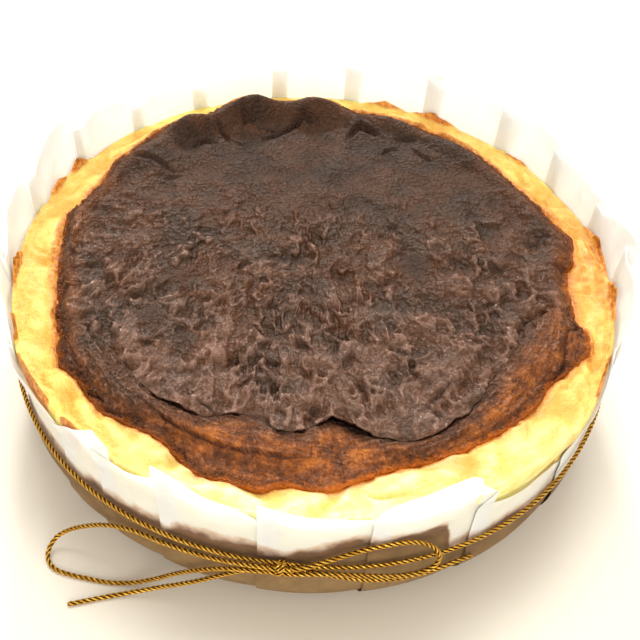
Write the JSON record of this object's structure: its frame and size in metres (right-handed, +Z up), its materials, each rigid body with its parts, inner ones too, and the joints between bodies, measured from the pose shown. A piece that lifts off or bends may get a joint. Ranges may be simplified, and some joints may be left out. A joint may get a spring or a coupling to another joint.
{
  "type": "basque cheesecake",
  "caption": "Round uncut cheesecake with a dark browned top and a pale rim, standing in its pleated baking parchment, tied round with a thin gold cord in a bow.",
  "frame": {"origin": "centre of the underside of the parchment, on the surface that the cake stands on", "axes": "+Z up through the middle of the cake; -Y towards the front, where the bow is; +X to the right as seen from the front"},
  "size_m": [0.1561, 0.1566, 0.0519],
  "materials": {
    "cake": "dark browned crinkled crust with a dull sheen, pale yellow moist rim",
    "parchment": "thin white baking parchment, creased, see-through and tan where fat has soaked in",
    "gold_cord": "twisted metallic yarn cord"
  },
  "bodies": {
    "root": {"cheesecake": "cake", "paper_case": "parchment", "cord_band": "gold_cord", "cord_knot": "gold_cord", "bow_loop_left": "gold_cord", "bow_loop_right": "gold_cord", "bow_tail_left": "gold_cord", "bow_tail_right": "gold_cord"}
  },
  "joints": []
}
